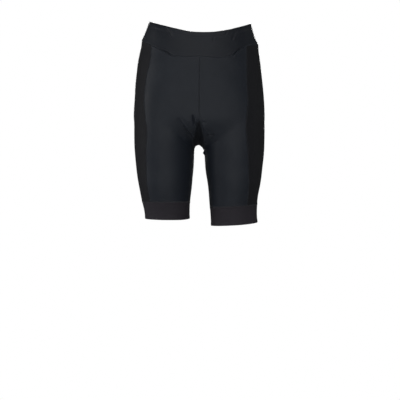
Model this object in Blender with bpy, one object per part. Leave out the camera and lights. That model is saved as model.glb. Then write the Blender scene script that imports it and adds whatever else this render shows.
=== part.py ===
"""Close-fitting cycling shorts in stretch jersey, in the shape they keep while worn.

Metres, +Z up, the front faces -Y and the wearer's left is +X. The origin is the middle of the waist
opening, level with the sides of the waist edge, where the wearer's waist holds the shorts up.

The stretched cloth follows one smooth surface: a trunk oval and two thigh ovals, blended where they
meet. Each cut piece is a patch of that surface between its seams, and becomes a thin closed wall.
"""

import math

import bmesh
import bpy
import numpy as np

# Cloth walls and seams
JERSEY_WALL = 0.0015
WAISTBAND_WALL = 0.0022
LEG_BAND_WALL = 0.0020
GUSSET_WALL = 0.0020
SEAM_GAP = 0.0003
WAIST_RIDGE = 0.0024
WAIST_RIDGE_REACH = 0.011
WAIST_RIDGE_TURN = math.radians(42.0)

# Outer surface of the stretched cloth: sides of its ovals in x, right to left, and in y, front to back
TRUNK_COLUMNS = ("z", "right", "left", "front", "back")
TRUNK = (
    (0.060, -0.120, 0.118, -0.084, 0.080),
    (0.000, -0.1300, 0.1285, -0.088, 0.084),
    (-0.030, -0.1400, 0.1365, -0.093, 0.089),
    (-0.060, -0.1490, 0.1460, -0.098, 0.096),
    (-0.100, -0.1575, 0.1530, -0.103, 0.106),
    (-0.150, -0.1640, 0.1590, -0.105, 0.116),
    (-0.200, -0.1670, 0.1630, -0.103, 0.120),
    (-0.250, -0.1680, 0.1645, -0.100, 0.116),
)
TRUNK_SQUARENESS = 2.25
TRUNK_CAP_Z = -0.236
CROTCH_Z = -0.3105
CROTCH_SLANT = 0.30
CROTCH_HALF_WIDTH = 0.012

THIGH_COLUMNS = ("z", "inner", "outer", "front", "back")
THIGHS = {
    "right": (
        (-0.250, -0.006, -0.1680, -0.0925, 0.104),
        (-0.290, -0.011, -0.1680, -0.0915, 0.098),
        (-0.330, -0.0143, -0.1660, -0.088, 0.087),
        (-0.375, -0.017, -0.1615, -0.082, 0.076),
        (-0.415, -0.021, -0.1555, -0.077, 0.067),
        (-0.450, -0.0245, -0.1490, -0.070, 0.060),
        (-0.480, -0.026, -0.1415, -0.064, 0.055),
        (-0.520, -0.0265, -0.1375, -0.061, 0.053),
    ),
    "left": (
        (-0.250, 0.002, 0.1645, -0.0925, 0.104),
        (-0.290, 0.006, 0.1648, -0.0915, 0.098),
        (-0.330, 0.0105, 0.1630, -0.088, 0.087),
        (-0.375, 0.0145, 0.1587, -0.082, 0.076),
        (-0.415, 0.0200, 0.1530, -0.077, 0.067),
        (-0.450, 0.0235, 0.1465, -0.070, 0.060),
        (-0.480, 0.0258, 0.1447, -0.064, 0.055),
        (-0.520, 0.0285, 0.1475, -0.061, 0.053),
    ),
}
THIGH_SQUARENESS = 2.1
THIGH_CAP_Z = -0.234
THIGH_CAP_HEIGHT = 0.130
BLEND_COLUMNS = ("z", "radius")
BLEND = ((-0.325, 0.014), (-0.300, 0.024), (-0.270, 0.036), (-0.200, 0.040))
BLEND_REACH = 0.090
LEAST_BLEND = 0.003
CENTRE_LEAN = 0.0028

# Where the line that the cloth is laid round runs inside each half, as x from the middle
BONE_COLUMNS = ("z", "x")
BONE = ((0.060, 0.045), (0.000, 0.048), (-0.100, 0.060), (-0.230, 0.084), (-0.330, 0.089), (-0.520, 0.085))

# Heights of the seams and edges, at turns round each half from its front end (0) to its back end (1)
LEVEL_TURNS = (0.0, 0.16, 0.25, 0.5, 0.75, 1.0)
LEVEL_NAMES = ("waist_edge", "waistband_seam", "gusset_tip", "crotch", "leg_band_seam", "hem")
WAIST_EDGE, WAISTBAND_SEAM, GUSSET_TIP, CROTCH, LEG_BAND_SEAM, HEM = range(len(LEVEL_NAMES))
LEVELS = {
    "right": (
        (-0.0368, -0.0255, -0.0168, 0.0022, -0.0040, -0.0130),
        (-0.0990, -0.0940, -0.0770, -0.0450, -0.0440, -0.0500),
        (-0.2560, -0.2560, -0.2560, -0.2560, -0.2620, -0.2700),
        (-0.3180, -0.3400, -0.3400, -0.3350, -0.3400, -0.3180),
        (-0.4577, -0.4577, -0.4577, -0.4560, -0.4560, -0.4577),
        (-0.5000, -0.5030, -0.5030, -0.5000, -0.5000, -0.5000),
    ),
    "left": (
        (-0.0370, -0.0312, -0.0226, -0.0028, -0.0060, -0.0130),
        (-0.0990, -0.0965, -0.0760, -0.0580, -0.0500, -0.0500),
        (-0.2560, -0.2560, -0.2560, -0.2560, -0.2620, -0.2700),
        (-0.3180, -0.3400, -0.3400, -0.3380, -0.3400, -0.3180),
        (-0.4720, -0.4700, -0.4685, -0.4630, -0.4660, -0.4720),
        (-0.5180, -0.5180, -0.5165, -0.5090, -0.5120, -0.5180),
    ),
}

# Angles round the bone of each side panel's seams, from straight out, at each level
SIDE_PANEL_COLUMNS = ("level", "front_seam", "back_seam")
SIDE_PANELS = {
    "right": (
        (1.0, -46, 42),
        (1.25, -48, 42),
        (1.4, -45.5, 42),
        (1.6, -46.5, 43),
        (2.0, -57.5, 44),
        (3.0, -58.5, 46),
        (3.6, -55, 46),
        (4.0, -56, 46),
        (5.0, -51, 46),
    ),
    "left": (
        (1.0, -48.5, 42),
        (1.25, -54.5, 42),
        (1.6, -62.5, 43),
        (2.0, -71.5, 44),
        (2.5, -72, 45),
        (3.0, -69.5, 46),
        (3.6, -64, 46),
        (4.0, -61, 46),
        (5.0, -59, 46),
    ),
}

# The gusset runs under the crotch between these angles, from straight ahead round to straight back
GUSSET_HUB = (0.008, -0.215)
GUSSET_START = math.radians(21.0)
GUSSET_END = math.radians(148.0)
GUSSET_HALF_WIDTH = 0.017
GUSSET_DROP = 0.005
GUSSET_FULLNESS = 0.6

# How many strips of cloth each stretch is worked out in
ROW_COLUMNS = ("first_level", "last_level", "rows")
ROWS = (
    (0, 0.75, 3),
    (0.75, 1, 2),
    (1, 1.12, 3),
    (1.12, 2, 8),
    (2, 3, 6),
    (3, 3.9, 8),
    (3.9, 4, 1),
    (4, 5, 3),
)
COLUMNS_FRONT = 10
COLUMNS_SIDE = 8
COLUMNS_BACK = 10
COLUMNS_GUSSET = 4

SIDE_SIGN = {"right": -1.0, "left": 1.0}
SEAM_NAMES = ("front_seam", "back_seam")
LONGEST_REACH = 0.30
FINE_STEPS = 40
HALVINGS = 32
SETTLINGS = 8
SLOPE_STEP = 0.0005
END_DRAW_TURN = 0.16
WELD_DISTANCE = 1e-6
SHARP_ANGLE = math.radians(40)

# Finish of each cloth: colour and roughness
CLOTHS = {
    "jersey": ((0.014, 0.0165, 0.0215), 0.55),
    "side_jersey": ((0.012, 0.0125, 0.0150), 0.60),
    "waistband": ((0.014, 0.0160, 0.0205), 0.55),
    "leg_band": ((0.016, 0.0155, 0.0195), 0.65),
}


def through(table, column, columns, at):
    """Smooth curve through one column of a table, held level past its ends."""
    rows = sorted(table)
    knots = np.array([row[0] for row in rows])
    values = np.array([row[columns.index(column)] for row in rows])
    slopes = np.gradient(values, knots)
    at = np.clip(at, knots[0], knots[-1])
    i = np.clip(np.searchsorted(knots, at) - 1, 0, len(knots) - 2)
    span = knots[i + 1] - knots[i]
    t = (at - knots[i]) / span
    rise = t * t * (3 - 2 * t)
    start = t * (1 - t) ** 2 * span * slopes[i]
    end = -t * t * (1 - t) * span * slopes[i + 1]
    return values[i] + (values[i + 1] - values[i]) * rise + start + end


def outside_oval(x, y, extra, sides, front, back, cap_height, squareness):
    """Distance outside an oval section, along the line to its middle; extra is the height past its cap."""
    low, high = sides
    dx = x - (low + high) / 2
    dy = y - (front + back) / 2
    half_x = np.abs(high - low) / 2
    half_y = (back - front) / 2
    power = squareness
    total = np.abs(dx / half_x) ** power + np.abs(dy / half_y) ** power
    total = total + np.abs(extra / cap_height) ** power
    ratio = np.maximum(total, 1e-12) ** (1 / power)
    length = np.sqrt(dx * dx + dy * dy + extra * extra)
    return length * (1 - 1 / ratio)


def outside_trunk(x, y, z):
    sides = [through(TRUNK, name, TRUNK_COLUMNS, z) for name in ("right", "left")]
    front = through(TRUNK, "front", TRUNK_COLUMNS, z)
    back = through(TRUNK, "back", TRUNK_COLUMNS, z)
    extra = np.maximum(TRUNK_CAP_Z - z, 0)
    slant = CROTCH_SLANT * np.clip(x + CENTRE_LEAN, -CROTCH_HALF_WIDTH, CROTCH_HALF_WIDTH)
    return outside_oval(x, y, extra, sides, front, back, TRUNK_CAP_Z - CROTCH_Z + slant, TRUNK_SQUARENESS)


def outside_thigh(side, x, y, z):
    table = THIGHS[side]
    sides = [through(table, name, THIGH_COLUMNS, z) for name in ("inner", "outer")]
    front = through(table, "front", THIGH_COLUMNS, z)
    back = through(table, "back", THIGH_COLUMNS, z)
    extra = np.maximum(z - THIGH_CAP_Z, 0)
    return outside_oval(x, y, extra, sides, front, back, THIGH_CAP_HEIGHT, THIGH_SQUARENESS)


def blended(a, b, radius):
    """The smaller of two distances, rounded over where they are alike."""
    share = np.clip(0.5 + 0.5 * (b - a) / radius, 0, 1)
    return b + (a - b) * share - radius * share * (1 - share)


def outside_form(points):
    """Distance of each point outside the surface, negative inside it."""
    x, y, z = points[..., 0], points[..., 1], points[..., 2]
    radius = through(BLEND, "radius", BLEND_COLUMNS, z) * np.exp(-((x / BLEND_REACH) ** 2)) + LEAST_BLEND
    thighs = np.minimum(outside_thigh("right", x, y, z), outside_thigh("left", x, y, z))
    return blended(outside_trunk(x, y, z), thighs, radius)


def form_normal(points):
    """Unit steps straight out of the surface, from its slope along each axis."""
    axes = SLOPE_STEP * np.eye(3)
    slope = [outside_form(points + axis) - outside_form(points - axis) for axis in axes]
    slope = np.stack(slope, axis=-1)
    return slope / np.linalg.norm(slope, axis=-1, keepdims=True)


def reach(origin, direction, far=LONGEST_REACH):
    """Where a line from inside comes out through the surface, no further off than far."""
    near_at = np.zeros(origin.shape[:-1])
    far_at = np.broadcast_to(far, near_at.shape)
    for _ in range(HALVINGS):
        middle = (near_at + far_at) / 2
        inside = outside_form(origin + direction * middle[..., None]) < 0
        near_at = np.where(inside, middle, near_at)
        far_at = np.where(inside, far_at, middle)
    return origin + direction * near_at[..., None]


def settle(points):
    """Moves points that are near the surface on to it, straight along its slope."""
    for _ in range(SETTLINGS):
        points = points - form_normal(points) * outside_form(points)[..., None]
    return points


def centre_x(z):
    """The rise seams lean a little to the wearer's right on the way down."""
    return -CENTRE_LEAN * np.clip(z / CROTCH_Z, 0, 1)


def bone(side, z):
    """The line inside one half that its cloth is laid round."""
    x = SIDE_SIGN[side] * through(BONE, "x", BONE_COLUMNS, z)
    return np.stack([x, np.zeros_like(x), z], axis=-1)


def angle_to(side, point):
    """Angle round the bone of a point: 0 at the outer side, negative to the front."""
    offset = point - bone(side, point[..., 2])
    return np.arctan2(offset[..., 1], SIDE_SIGN[side] * offset[..., 0])


def gusset_line(angle):
    """Points under the crotch, on the centre line, at angles round the hub."""
    y, z = GUSSET_HUB
    hub = np.stack([np.full_like(angle, -CENTRE_LEAN), np.full_like(angle, y), np.full_like(angle, z)], -1)
    direction = np.stack([np.zeros_like(angle), -np.cos(angle), -np.sin(angle)], -1)
    return reach(hub, direction)


def gusset_edge(side, angle):
    """The seam along one side of the gusset, rounded in to a point at both ends."""
    share = np.clip((angle - GUSSET_START) / (GUSSET_END - GUSSET_START), 0, 1)
    width = GUSSET_HALF_WIDTH * np.sin(np.pi * share) ** GUSSET_FULLNESS
    drop = -GUSSET_DROP * width / GUSSET_HALF_WIDTH
    sideways = np.stack([SIDE_SIGN[side] * width, np.zeros_like(width), drop], -1)
    return settle(gusset_line(angle) + sideways)


def table_height(side, turn, level):
    """Height of the cloth at a turn, straight between the named levels of the table."""
    knots = (-LEVEL_TURNS[1], *LEVEL_TURNS, 2 - LEVEL_TURNS[-2])
    curves = []
    for row in LEVELS[side]:
        mirrored = (row[1], *row, row[-2])
        curves.append(through(list(zip(knots, mirrored)), "z", ("turn", "z"), turn))
    lower = np.clip(np.floor(level).astype(int), 0, len(curves) - 2)[None]
    here = np.take_along_axis(np.stack(curves), lower, axis=0)[0]
    after = np.take_along_axis(np.stack(curves), lower + 1, axis=0)[0]
    return here + (after - here) * (level - lower[0])


def end_line(side, sign, start):
    """Heights and angles of the front (-1) or back (1) end of the cloth, at fine levels."""
    turn = (1 + sign) / 2
    tip_z = gusset_line(np.array([start]))[0, 2]
    rise_level = steps(WAIST_EDGE, GUSSET_TIP, FINE_STEPS)
    rise_z = np.maximum(table_height(side, np.full_like(rise_level, turn), rise_level), tip_z)
    inner = np.stack([centre_x(rise_z), np.zeros_like(rise_z), rise_z], -1)
    rise = reach(inner, np.array([0.0, sign, 0.0]) * np.ones_like(inner))
    seam_level = np.linspace(GUSSET_TIP, CROTCH, FINE_STEPS)
    seam = gusset_edge(side, start + (np.pi / 2 - start) * (seam_level - GUSSET_TIP))
    angles = angle_to(side, np.concatenate([rise, seam]))
    angles = np.where(angles * sign < 0, angles + sign * 2 * np.pi, angles)
    leg_level = np.array([LEG_BAND_SEAM, HEM])
    leg_z = table_height(side, np.full(2, turn), leg_level)
    level = np.concatenate([rise_level, seam_level, leg_level])
    height = np.concatenate([rise_z, seam[:, 2], leg_z])
    return level, height, np.append(angles, [sign * np.pi, sign * np.pi])


class Half:
    """One half of the shorts, laid round its bone from the front end to the back end."""

    def __init__(self, side):
        self.side = side
        self.front = end_line(side, -1, GUSSET_START)
        self.back = end_line(side, 1, GUSSET_END)

    def height(self, turn, level):
        """Height of the cloth at a turn, drawn to the real height of its front and back ends."""
        z = table_height(self.side, turn, level)
        for end, turn_from_end in ((self.front, turn), (self.back, 1 - turn)):
            end_turn = np.full_like(turn, 0.0 if end is self.front else 1.0)
            off = np.interp(level, end[0], end[1]) - table_height(self.side, end_turn, level)
            z = z + off * np.clip(1 - turn_from_end / END_DRAW_TURN, 0, 1) ** 2
        return z

    def columns(self, level):
        """Angles round the bone of every column on each row, through the seams of the side panel."""
        front, back = self.ends(level)
        table = SIDE_PANELS[self.side]
        seams = [np.radians(through(table, name, SIDE_PANEL_COLUMNS, level)) for name in SEAM_NAMES]
        rows = []
        for a, b, c, d in zip(front, *seams, back):
            parts = steps(a, b, COLUMNS_FRONT), steps(b, c, COLUMNS_SIDE), steps(c, d, COLUMNS_BACK)
            rows.append(np.concatenate([*parts, [d]]))
        return np.array(rows)

    def ends(self, level):
        """Angles of the front and back ends of the cloth at each level."""
        return [np.interp(level, end[0], end[2]) for end in (self.front, self.back)]

    def place(self, angle, level):
        """Points on the surface at angles round the bone, one row of them for each level."""
        level = np.broadcast_to(level[:, None], angle.shape)
        front, back = self.ends(level)
        turn = np.where(angle < 0, 0.5 - 0.5 * angle / front, 0.5 + 0.5 * angle / back)
        z = self.height(turn, level)
        sign = SIDE_SIGN[self.side]
        direction = np.stack([sign * np.cos(angle), np.sin(angle), np.zeros_like(angle)], -1)
        start = bone(self.side, z)
        to_centre = sign * (start[..., 0] - centre_x(z))
        towards = np.maximum(-sign * direction[..., 0], 1e-6)
        points = reach(start, direction, np.minimum(LONGEST_REACH, to_centre / towards))
        from_seam = z - self.height(turn, np.full_like(z, WAISTBAND_SEAM))
        fade = (from_seam / WAIST_RIDGE_REACH) ** 2 + (angle / WAIST_RIDGE_TURN) ** 2
        return points + form_normal(points) * (WAIST_RIDGE * np.exp(-fade))[..., None]


def steps(first, last, count):
    """Even steps from first to last, without the last."""
    return np.linspace(first, last, count + 1)[:-1]


def all_levels():
    """Levels of every row, from the waist edge to the hem."""
    return np.concatenate([steps(first, last, count) for first, last, count in ROWS] + [[ROWS[-1][1]]])


def pull_in(grid, closed):
    """Moves the outline of a grid of points half a seam gap in, along the surface."""
    shifts = np.zeros_like(grid)
    edges = [(0, 1), (-1, -2)]
    for edge, inner in edges:
        along = np.gradient(grid[edge], axis=0)
        shifts[edge] += across(grid[inner] - grid[edge], along)
    if not closed:
        for edge, inner in edges:
            along = np.gradient(grid[:, edge], axis=0)
            shifts[:, edge] += across(grid[:, inner] - grid[:, edge], along)
    return grid + shifts * (SEAM_GAP / 2)


def across(inwards, along):
    """Unit steps inwards, square to an edge."""
    along = along / np.maximum(np.linalg.norm(along, axis=-1, keepdims=True), 1e-9)
    step = inwards - along * np.sum(inwards * along, axis=-1, keepdims=True)
    return step / np.maximum(np.linalg.norm(step, axis=-1, keepdims=True), 1e-9)


def wall(name, grid, thickness, material, closed=False):
    """A closed cloth wall on a grid of outer points; a closed grid runs right round a leg."""
    normal = form_normal(grid)
    outer = pull_in(grid, closed)
    inner = outer - normal * thickness
    rows, columns = grid.shape[:2]
    mesh = bmesh.new()
    layers = [[[mesh.verts.new(point) for point in row] for row in layer] for layer in (outer, inner)]
    last = columns if closed else columns - 1
    for layer in layers:
        for r in range(rows - 1):
            for c in range(last):
                d = (c + 1) % columns
                mesh.faces.new((layer[r][c], layer[r][d], layer[r + 1][d], layer[r + 1][c]))
    out, back = layers
    for r in (0, rows - 1):
        for c in range(last):
            d = (c + 1) % columns
            mesh.faces.new((out[r][c], out[r][d], back[r][d], back[r][c]))
    if not closed:
        for c in (0, columns - 1):
            for r in range(rows - 1):
                mesh.faces.new((out[r][c], out[r + 1][c], back[r + 1][c], back[r][c]))
    return finish_piece(name, mesh, material)


def finish_piece(name, mesh, material):
    bmesh.ops.remove_doubles(mesh, verts=mesh.verts, dist=WELD_DISTANCE)
    bmesh.ops.triangulate(mesh, faces=mesh.faces)
    bmesh.ops.recalc_face_normals(mesh, faces=mesh.faces)
    data = bpy.data.meshes.new(name)
    mesh.to_mesh(data)
    mesh.free()
    data.shade_smooth()
    data.set_sharp_from_angle(angle=SHARP_ANGLE)
    data.materials.append(material)
    piece = bpy.data.objects.new(name, data)
    bpy.context.scene.collection.objects.link(piece)
    return piece


def cloth(name, colour, roughness):
    material = bpy.data.materials.new(name)
    material.use_nodes = True
    shader = material.node_tree.nodes["Principled BSDF"]
    shader.inputs["Base Color"].default_value = (*colour, 1)
    shader.inputs["Roughness"].default_value = roughness
    shader.inputs["Metallic"].default_value = 0.0
    return material


def row_of(level):
    return int(np.argmin(np.abs(all_levels() - level)))


def gusset_grid(grids):
    """Points under the crotch, on the panels' own seam points along both sides."""
    rows = slice(row_of(GUSSET_TIP), row_of(CROTCH) + 1)
    edges = [np.concatenate([grid[rows, 0], grid[rows, -1][::-1][1:]]) for grid in grids.values()]
    share = np.linspace(0, 1, COLUMNS_GUSSET + 1)[:, None]
    across_it = edges[0][:, None] * (1 - share) + edges[1][:, None] * share
    width = np.linalg.norm(edges[1] - edges[0], axis=-1)[:, None, None]
    across_it = across_it + share * (1 - share) * width * np.array([0.0, 0.0, 1.0])
    across_it[:, 1:-1] = settle(across_it[:, 1:-1])
    return across_it


def main():
    """Clears the scene, lays both halves of the cloth and cuts them into the pieces."""
    for thing in list(bpy.data.objects):
        bpy.data.objects.remove(thing)
    jersey, side_jersey, waistband, leg_band = (cloth(name, *finish) for name, finish in CLOTHS.items())

    level = all_levels()
    halves = [Half(side) for side in ("right", "left")]
    grids = {half.side: half.place(half.columns(level), level) for half in halves}
    waist = slice(0, row_of(WAISTBAND_SEAM) + 1)
    body = slice(row_of(WAISTBAND_SEAM), row_of(LEG_BAND_SEAM) + 1)
    side_front, side_back = COLUMNS_FRONT, COLUMNS_FRONT + COLUMNS_SIDE
    middle = COLUMNS_FRONT + COLUMNS_SIDE // 2

    front = [grids["right"][waist, middle:0:-1], grids["left"][waist, : middle + 1]]
    wall("waistband_front", np.concatenate(front, axis=1), WAISTBAND_WALL, waistband)
    back = [grids["left"][waist, middle:-1], grids["right"][waist, : middle - 1 : -1]]
    wall("waistband_back", np.concatenate(back, axis=1), WAISTBAND_WALL, waistband)
    for side, grid in grids.items():
        wall(f"front_panel_{side}", grid[body, : side_front + 1], JERSEY_WALL, jersey)
        strip = grid[body, side_front : side_back + 1]
        wall(f"side_panel_{side}", strip, JERSEY_WALL, side_jersey)
        wall(f"back_panel_{side}", grid[body, side_back:], JERSEY_WALL, jersey)
        ring = grid[row_of(LEG_BAND_SEAM) :, :-1]
        wall(f"leg_band_{side}", ring, LEG_BAND_WALL, leg_band, closed=True)
    wall("gusset", gusset_grid(grids), GUSSET_WALL, jersey)


main()
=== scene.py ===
"""Close-fitting cycling shorts in black stretch jersey, in the hollow shape that they keep while worn.

Metres, +Z up, front towards -Y, the wearer's left towards +X. The order below is the order in which a
maker sews them: front panels, side strips, back panels, gusset, waistband, leg bands, then the threads.
"""

import math

import bpy
import numpy as np
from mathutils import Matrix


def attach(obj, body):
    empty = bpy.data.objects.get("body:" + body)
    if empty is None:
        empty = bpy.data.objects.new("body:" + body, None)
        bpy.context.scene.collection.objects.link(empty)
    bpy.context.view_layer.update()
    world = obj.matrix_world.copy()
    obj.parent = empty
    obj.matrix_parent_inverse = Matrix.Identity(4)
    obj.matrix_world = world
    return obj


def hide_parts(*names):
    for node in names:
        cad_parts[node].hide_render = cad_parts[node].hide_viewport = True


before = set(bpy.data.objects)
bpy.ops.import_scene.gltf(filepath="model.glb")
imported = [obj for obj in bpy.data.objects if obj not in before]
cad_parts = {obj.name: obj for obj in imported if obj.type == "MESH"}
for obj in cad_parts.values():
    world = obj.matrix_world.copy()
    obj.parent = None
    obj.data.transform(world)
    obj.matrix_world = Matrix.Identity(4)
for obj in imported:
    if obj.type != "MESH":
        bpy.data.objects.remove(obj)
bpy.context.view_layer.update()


# Front panels: two pieces of smooth knitted jersey, cut to the body and joined by the centre-front rise.
# Stretch holds them on the trunk and thighs, so each one is a patch of that form between its own seams,
# with a sewn edge that rolls in a little and the drag creases that the wearer's pose puts in the cloth.

TRUNK_COLUMNS = ("z", "right", "left", "front", "back")
TRUNK = (
    (0.060, -0.120, 0.118, -0.084, 0.080),
    (0.000, -0.1300, 0.1285, -0.088, 0.084),
    (-0.030, -0.1400, 0.1365, -0.093, 0.089),
    (-0.060, -0.1490, 0.1460, -0.098, 0.096),
    (-0.100, -0.1575, 0.1530, -0.103, 0.106),
    (-0.150, -0.1640, 0.1590, -0.105, 0.116),
    (-0.200, -0.1670, 0.1630, -0.103, 0.120),
    (-0.250, -0.1680, 0.1645, -0.100, 0.116),
)
TRUNK_SQUARENESS = 2.25
TRUNK_CAP_Z = -0.236
CROTCH_Z = -0.3105
CROTCH_SLANT = 0.30
CROTCH_HALF_WIDTH = 0.012

THIGH_COLUMNS = ("z", "inner", "outer", "front", "back")
THIGHS = {
    "right": (
        (-0.250, -0.006, -0.1680, -0.0925, 0.104),
        (-0.290, -0.011, -0.1680, -0.0915, 0.098),
        (-0.330, -0.0143, -0.1660, -0.088, 0.087),
        (-0.375, -0.017, -0.1615, -0.082, 0.076),
        (-0.415, -0.021, -0.1555, -0.077, 0.067),
        (-0.450, -0.0245, -0.1490, -0.070, 0.060),
        (-0.480, -0.026, -0.1415, -0.064, 0.055),
        (-0.520, -0.0265, -0.1375, -0.061, 0.053),
    ),
    "left": (
        (-0.250, 0.002, 0.1645, -0.0925, 0.104),
        (-0.290, 0.006, 0.1648, -0.0915, 0.098),
        (-0.330, 0.0105, 0.1630, -0.088, 0.087),
        (-0.375, 0.0145, 0.1587, -0.082, 0.076),
        (-0.415, 0.0200, 0.1530, -0.077, 0.067),
        (-0.450, 0.0235, 0.1465, -0.070, 0.060),
        (-0.480, 0.0258, 0.1447, -0.064, 0.055),
        (-0.520, 0.0285, 0.1475, -0.061, 0.053),
    ),
}
THIGH_SQUARENESS = 2.1
THIGH_CAP_Z = -0.234
THIGH_CAP_HEIGHT = 0.130
BLEND_COLUMNS = ("z", "radius")
BLEND = ((-0.325, 0.014), (-0.300, 0.024), (-0.270, 0.036), (-0.200, 0.040))
BLEND_REACH = 0.090
LEAST_BLEND = 0.003
CENTRE_LEAN = 0.0028

BONE_COLUMNS = ("z", "x")
BONE = ((0.060, 0.045), (0.000, 0.048), (-0.100, 0.060), (-0.230, 0.084), (-0.330, 0.089), (-0.520, 0.085))

LEVEL_TURNS = (0.0, 0.16, 0.25, 0.5, 0.75, 1.0)
WAIST_EDGE, WAISTBAND_SEAM, GUSSET_TIP, CROTCH, LEG_BAND_SEAM, HEM = range(6)
LEVELS = {
    "right": (
        (-0.0368, -0.0255, -0.0168, 0.0022, -0.0040, -0.0130),
        (-0.0990, -0.0940, -0.0770, -0.0450, -0.0440, -0.0500),
        (-0.2560, -0.2560, -0.2560, -0.2560, -0.2620, -0.2700),
        (-0.3180, -0.3400, -0.3400, -0.3350, -0.3400, -0.3180),
        (-0.4577, -0.4577, -0.4577, -0.4560, -0.4560, -0.4577),
        (-0.5000, -0.5030, -0.5030, -0.5000, -0.5000, -0.5000),
    ),
    "left": (
        (-0.0370, -0.0312, -0.0226, -0.0028, -0.0060, -0.0130),
        (-0.0990, -0.0965, -0.0760, -0.0580, -0.0500, -0.0500),
        (-0.2560, -0.2560, -0.2560, -0.2560, -0.2620, -0.2700),
        (-0.3180, -0.3400, -0.3400, -0.3380, -0.3400, -0.3180),
        (-0.4720, -0.4700, -0.4685, -0.4630, -0.4660, -0.4720),
        (-0.5180, -0.5180, -0.5165, -0.5090, -0.5120, -0.5180),
    ),
}
SIDE_PANEL_COLUMNS = ("level", "front_seam", "back_seam")
SIDE_PANELS = {
    "right": (
        (1.0, -46, 42),
        (1.25, -48, 42),
        (1.4, -45.5, 42),
        (1.6, -46.5, 43),
        (2.0, -57.5, 44),
        (3.0, -58.5, 46),
        (3.6, -55, 46),
        (4.0, -56, 46),
        (5.0, -51, 46),
    ),
    "left": (
        (1.0, -48.5, 42),
        (1.25, -54.5, 42),
        (1.6, -62.5, 43),
        (2.0, -71.5, 44),
        (2.5, -72, 45),
        (3.0, -69.5, 46),
        (3.6, -64, 46),
        (4.0, -61, 46),
        (5.0, -59, 46),
    ),
}
GUSSET_HUB = (0.008, -0.215)
GUSSET_START = math.radians(21.0)
GUSSET_END = math.radians(148.0)
GUSSET_HALF_WIDTH = 0.017
GUSSET_DROP = 0.005
WAIST_RIDGE = 0.0024
WAIST_RIDGE_REACH = 0.011
WAIST_RIDGE_TURN = math.radians(42.0)
SIDE_SIGN = {"right": -1.0, "left": 1.0}
LONGEST_REACH = 0.30
FINE_STEPS = 40
END_DRAW_TURN = 0.16


def through(table, column, columns, at):
    """Smooth curve through one column of a table: cubic between rows, level past its ends."""
    rows = sorted(table)
    knots = np.array([row[0] for row in rows])
    values = np.array([row[columns.index(column)] for row in rows])
    slopes = np.gradient(values, knots)
    at = np.clip(at, knots[0], knots[-1])
    i = np.clip(np.searchsorted(knots, at) - 1, 0, len(knots) - 2)
    span = knots[i + 1] - knots[i]
    t = (at - knots[i]) / span
    rise = t * t * (3 - 2 * t)
    start = t * (1 - t) ** 2 * span * slopes[i]
    end = -t * t * (1 - t) * span * slopes[i + 1]
    return values[i] + (values[i + 1] - values[i]) * rise + start + end


def outside_oval(x, y, extra, sides, front, back, cap_height, squareness):
    """Distance outside an oval section along the line to its middle; extra is the height past its cap."""
    low, high = sides
    dx = x - (low + high) / 2
    dy = y - (front + back) / 2
    half_x = np.abs(high - low) / 2
    half_y = (back - front) / 2
    power = squareness
    total = np.abs(dx / half_x) ** power + np.abs(dy / half_y) ** power + np.abs(extra / cap_height) ** power
    ratio = np.maximum(total, 1e-12) ** (1 / power)
    length = np.sqrt(dx * dx + dy * dy + extra * extra)
    return length * (1 - 1 / ratio)


def outside_form(points):
    """Distance outside the trunk and the two thighs, rounded over where they are alike."""
    x, y, z = points[..., 0], points[..., 1], points[..., 2]
    sides = [through(TRUNK, name, TRUNK_COLUMNS, z) for name in ("right", "left")]
    front, back = (through(TRUNK, name, TRUNK_COLUMNS, z) for name in ("front", "back"))
    slant = CROTCH_SLANT * np.clip(x + CENTRE_LEAN, -CROTCH_HALF_WIDTH, CROTCH_HALF_WIDTH)
    cap = TRUNK_CAP_Z - CROTCH_Z + slant
    trunk = outside_oval(x, y, np.maximum(TRUNK_CAP_Z - z, 0), sides, front, back, cap, TRUNK_SQUARENESS)
    thighs = []
    for table in THIGHS.values():
        sides = [through(table, name, THIGH_COLUMNS, z) for name in ("inner", "outer")]
        front, back = (through(table, name, THIGH_COLUMNS, z) for name in ("front", "back"))
        extra = np.maximum(z - THIGH_CAP_Z, 0)
        thighs.append(outside_oval(x, y, extra, sides, front, back, THIGH_CAP_HEIGHT, THIGH_SQUARENESS))
    thigh = np.minimum(*thighs)
    radius = through(BLEND, "radius", BLEND_COLUMNS, z) * np.exp(-((x / BLEND_REACH) ** 2)) + LEAST_BLEND
    share = np.clip(0.5 + 0.5 * (thigh - trunk) / radius, 0, 1)
    return thigh + (trunk - thigh) * share - radius * share * (1 - share)


def form_normal(points):
    """Slope of the distance, by stepping half a millimetre each way along each axis."""
    step = 0.0005
    slope = [outside_form(points + step * axis) - outside_form(points - step * axis) for axis in np.eye(3)]
    slope = np.stack(slope, axis=-1)
    return slope / np.linalg.norm(slope, axis=-1, keepdims=True)


def reach(origin, direction, far=LONGEST_REACH):
    """Where a line from inside the form comes out of it, found by halving, no further off than far."""
    near_at = np.zeros(origin.shape[:-1])
    far_at = np.broadcast_to(far, near_at.shape)
    for _ in range(30):
        middle = (near_at + far_at) / 2
        inside = outside_form(origin + direction * middle[..., None]) < 0
        near_at = np.where(inside, middle, near_at)
        far_at = np.where(inside, far_at, middle)
    return origin + direction * near_at[..., None]


def settle(points):
    """Moves points near the form straight on to it along its slope."""
    for _ in range(8):
        points = points - form_normal(points) * outside_form(points)[..., None]
    return points


def bone(side, z):
    """The upright line inside one half that its cloth is laid round."""
    x = SIDE_SIGN[side] * through(BONE, "x", BONE_COLUMNS, z)
    return np.stack([x, np.zeros_like(x), z], axis=-1)


def centre_x(z):
    return -CENTRE_LEAN * np.clip(z / CROTCH_Z, 0, 1)


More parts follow.
